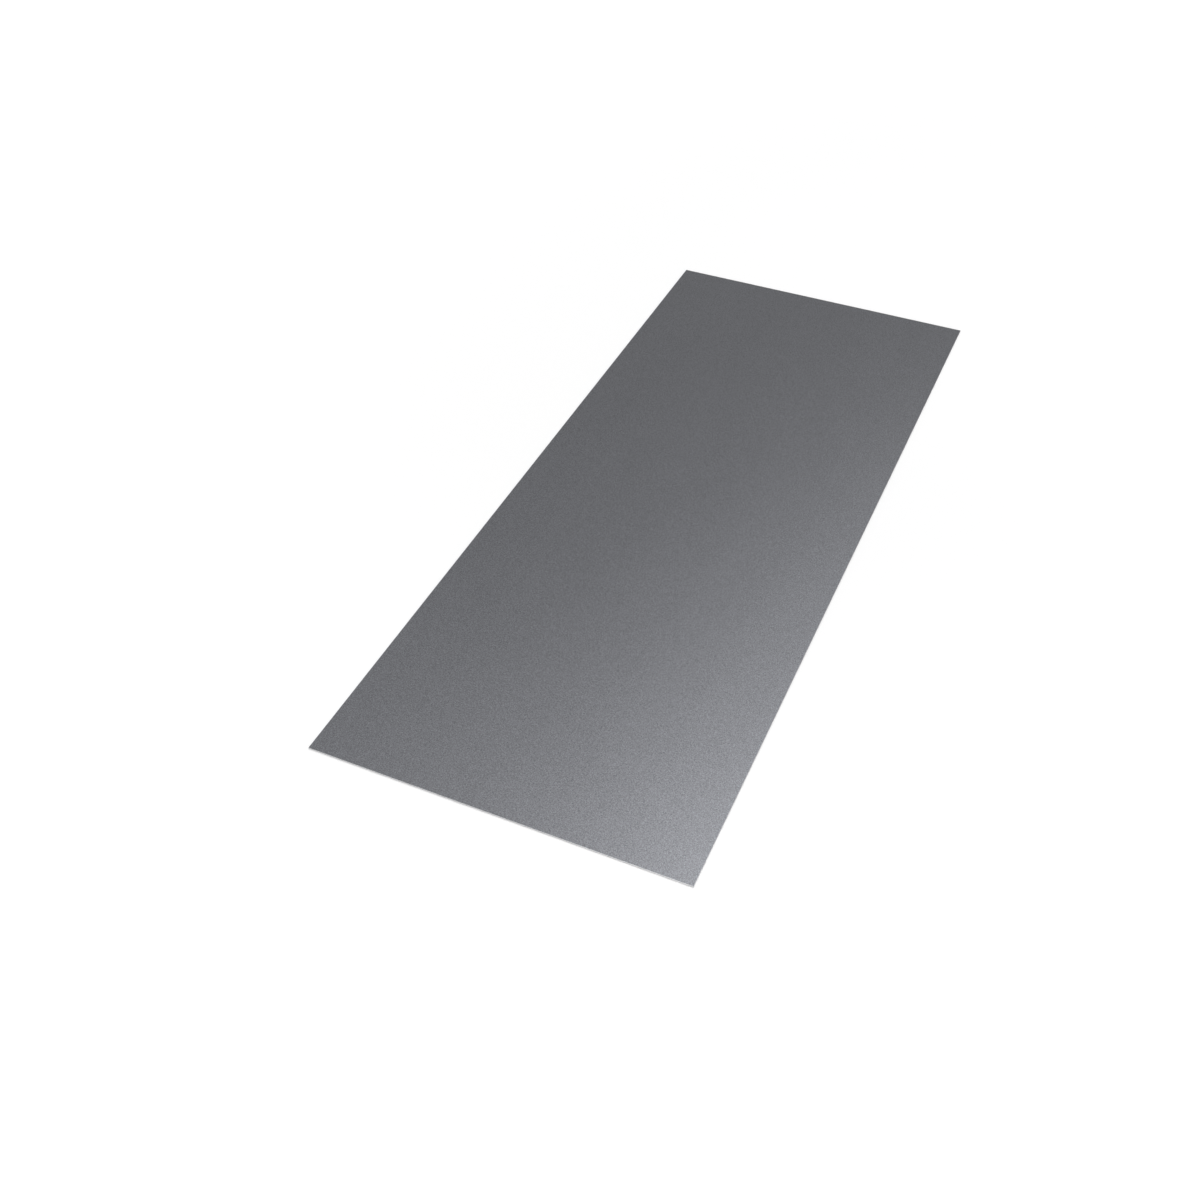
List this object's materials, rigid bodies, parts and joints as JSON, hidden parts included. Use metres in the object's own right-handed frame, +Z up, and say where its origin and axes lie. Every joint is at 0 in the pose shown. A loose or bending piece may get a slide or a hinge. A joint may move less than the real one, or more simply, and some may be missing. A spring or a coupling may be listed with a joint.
{
  "type": "steel plate",
  "caption": "Flat rectangular plate of rolled steel with lightly broken edges, raw stock to be cut, drilled, bent or welded.",
  "frame": {"origin": "centre of the underside, on the surface that the plate lies on", "axes": "+X across the plate's width, +Y along its rolled length, +Z up through its thickness"},
  "size_m": [1.2192, 3.048, 0.0048],
  "materials": {
    "rolled_steel": "satin"
  },
  "bodies": {
    "root": {"plate": "rolled_steel"}
  },
  "joints": []
}
